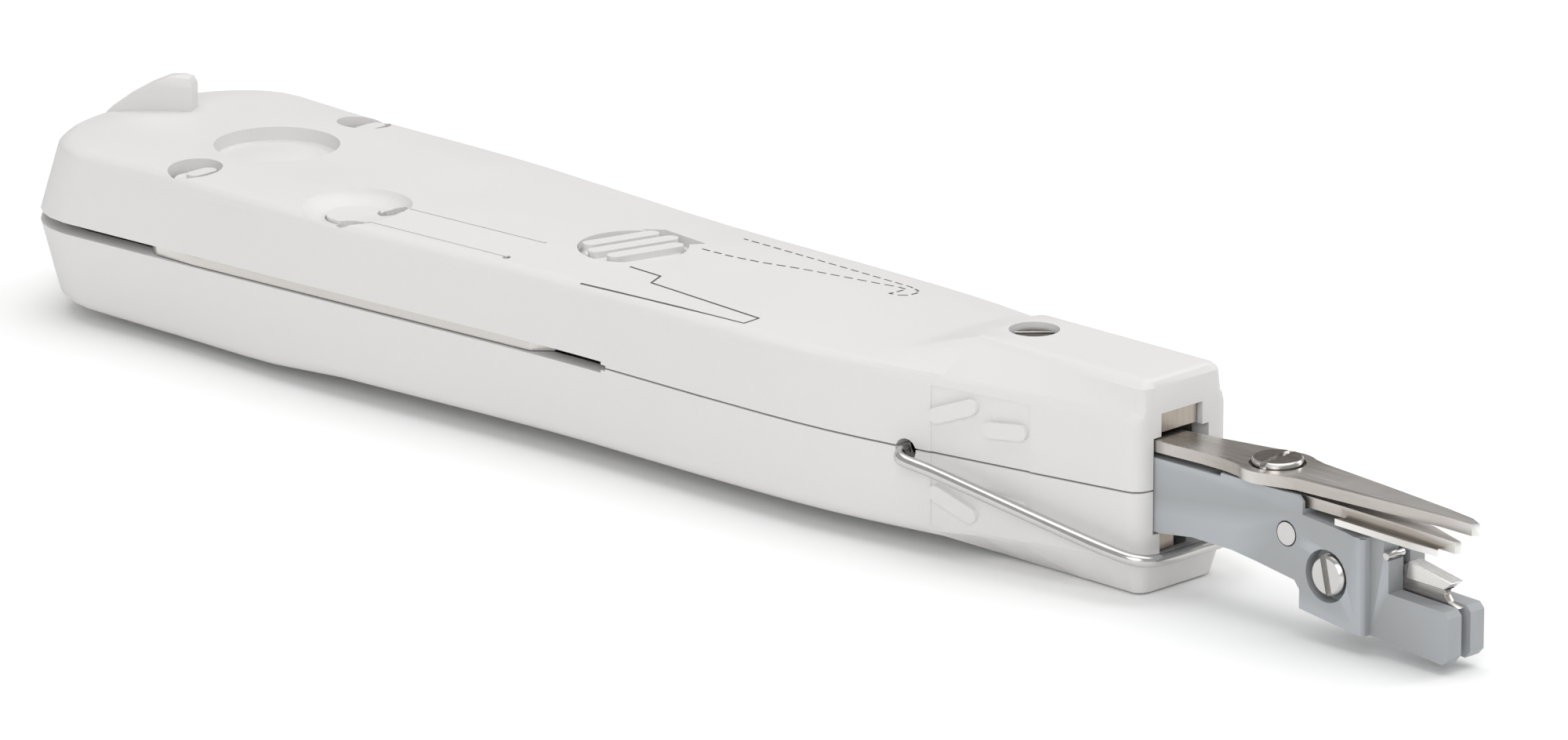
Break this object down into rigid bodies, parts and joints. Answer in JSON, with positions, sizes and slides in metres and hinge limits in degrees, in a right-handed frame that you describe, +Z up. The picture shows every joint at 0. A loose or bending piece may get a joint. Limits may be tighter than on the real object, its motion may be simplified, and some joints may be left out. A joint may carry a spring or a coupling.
{
  "type": "punch down tool",
  "caption": "Punch down tool: two-shell handle, folding removal blade and wire hook, wire bail, sprung working head with scissors and a forked insert.",
  "frame": {"origin": "under the middle of the whole tool, on the plane of its lowest face", "axes": "+X forward to the working head, +Z up out of the printed face of the handle, -Y the side the folding blade swings out of"},
  "size_m": [0.1794, 0.0328, 0.0214],
  "materials": {
    "shell_plastic": "fine-grained off-white moulded plastic",
    "grey_plastic": "satin cool-grey moulded plastic",
    "tool_steel": "ground and brushed steel",
    "spring_steel": "drawn spring steel",
    "plated_steel": "bright plated"
  },
  "bodies": {
    "handle": {"top_shell": "shell_plastic", "bottom_shell": "shell_plastic", "button_spring": "spring_steel", "front_screw_upper": "plated_steel", "front_screw_lower": "plated_steel", "middle_screw": "plated_steel", "rear_screw": "plated_steel", "blade_pivot_pin": "shell_plastic", "hook_pivot_pin": "shell_plastic", "blade_leaf_spring": "spring_steel", "hook_leaf_spring": "spring_steel", "guide_frame": "tool_steel", "cam_pin": "tool_steel", "spring_stop": "shell_plastic", "return_spring": "spring_steel"},
    "head": {"head_body": "grey_plastic", "head_clamp": "grey_plastic", "push_insert": "tool_steel", "sensor_pin": "tool_steel", "stop_rivet": "tool_steel", "side_screw": "plated_steel", "side_nut": "tool_steel", "lower_blade": "tool_steel", "scissor_screw": "plated_steel", "scissor_nut": "tool_steel", "spring_rod": "tool_steel"},
    "scissor_blade": {"upper_blade": "tool_steel"},
    "removal_blade": {"removal_blade": "tool_steel"},
    "wire_hook": {"wire_hook": "tool_steel"},
    "wire_bail": {"wire_bail": "plated_steel"},
    "release_tongue": {"release_tongue": "shell_plastic"},
    "ribbed_button": {"ribbed_button": "shell_plastic"}
  },
  "joints": [
    {"name": "head_slide", "type": "slide", "parent": "handle", "child": "head", "axis": [-1, 0, 0], "range_m": [0, 0.005], "stiffness_N_per_m": 1500, "deforming": ["return_spring"]},
    {"name": "scissor_swing", "type": "hinge", "parent": "head", "child": "scissor_blade", "pos_m": [0.0648, -0.0011, 0.0142], "axis": [0, 0, -1], "range_deg": [0, 6.6]},
    {"name": "blade_swing", "type": "hinge", "parent": "handle", "child": "removal_blade", "pos_m": [-0.0661, -0.0111, 0.01], "axis": [0, 0, -1], "range_deg": [0, 180]},
    {"name": "hook_swing", "type": "hinge", "parent": "handle", "child": "wire_hook", "pos_m": [-0.0661, 0.0111, 0.01], "axis": [0, 0, 1], "range_deg": [0, 180]},
    {"name": "bail_swing", "type": "hinge", "parent": "handle", "child": "wire_bail", "pos_m": [0.0276, 0, 0.00975], "axis": [0, 1, 0], "range_deg": [0, 45]},
    {"name": "tongue_press", "type": "hinge", "parent": "handle", "child": "release_tongue", "pos_m": [-0.0239, -0.0089, 0.0174], "axis": [0, -1, 0], "range_deg": [0, 3], "stiffness_Nm_per_rad": 1.5},
    {"name": "button_press", "type": "slide", "parent": "handle", "child": "ribbed_button", "axis": [0, 0, -1], "range_m": [0, 0.0015], "stiffness_N_per_m": 600, "deforming": ["button_spring"]}
  ],
  "couplings": [
    {"joint": "scissor_swing", "follows": "head_slide", "rad_per_m": 20.944}
  ]
}
